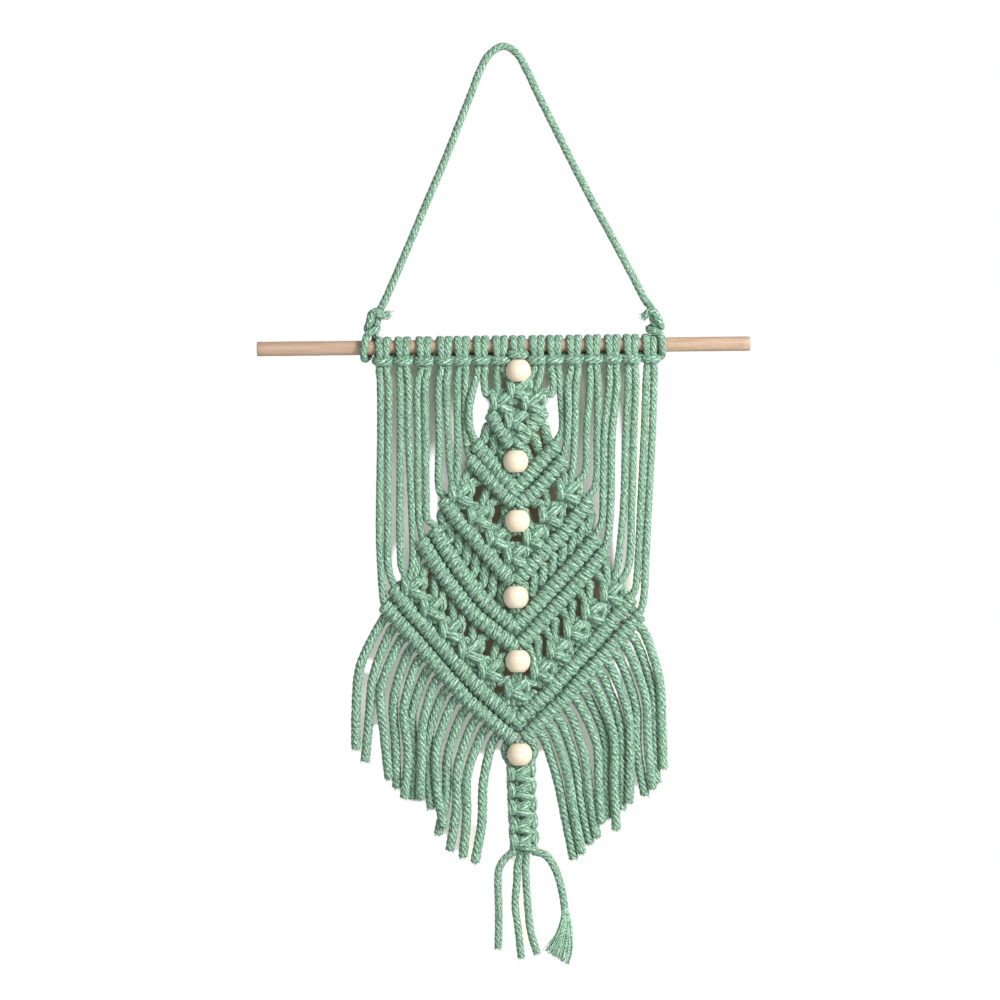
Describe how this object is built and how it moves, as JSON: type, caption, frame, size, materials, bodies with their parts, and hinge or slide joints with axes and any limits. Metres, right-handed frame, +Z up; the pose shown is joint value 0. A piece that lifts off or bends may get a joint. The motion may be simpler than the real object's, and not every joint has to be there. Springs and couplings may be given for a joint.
{
  "type": "macrame wall hanging with wooden dowel",
  "caption": "Knotted cotton cord panel with V-shaped bars, wooden beads and a long fringe, hung from a round wooden dowel by a cord loop.",
  "frame": {"origin": "where the underside of the hanging cord rests on its hook", "axes": "+Z up, front faces -Y, +X to the right seen from the front, the dowel along X"},
  "size_m": [0.3, 0.027, 0.5608],
  "materials": {
    "cotton_cord": "three-ply twisted cotton cord, mint green, matte",
    "beech_wood": "bare sanded beech, satin",
    "pale_wood": "pale natural wood, smooth and lightly waxed"
  },
  "bodies": {
    "root": {"dowel": "beech_wood", "hanging_cord": "cotton_cord", "tie_left": "cotton_cord", "tie_right": "cotton_cord", "macrame": "cotton_cord", "sinnet": "cotton_cord", "fringe_left": "cotton_cord", "fringe_right": "cotton_cord", "bead_1": "pale_wood", "bead_2": "pale_wood", "bead_3": "pale_wood", "bead_4": "pale_wood", "bead_5": "pale_wood", "bead_6": "pale_wood"}
  },
  "joints": []
}
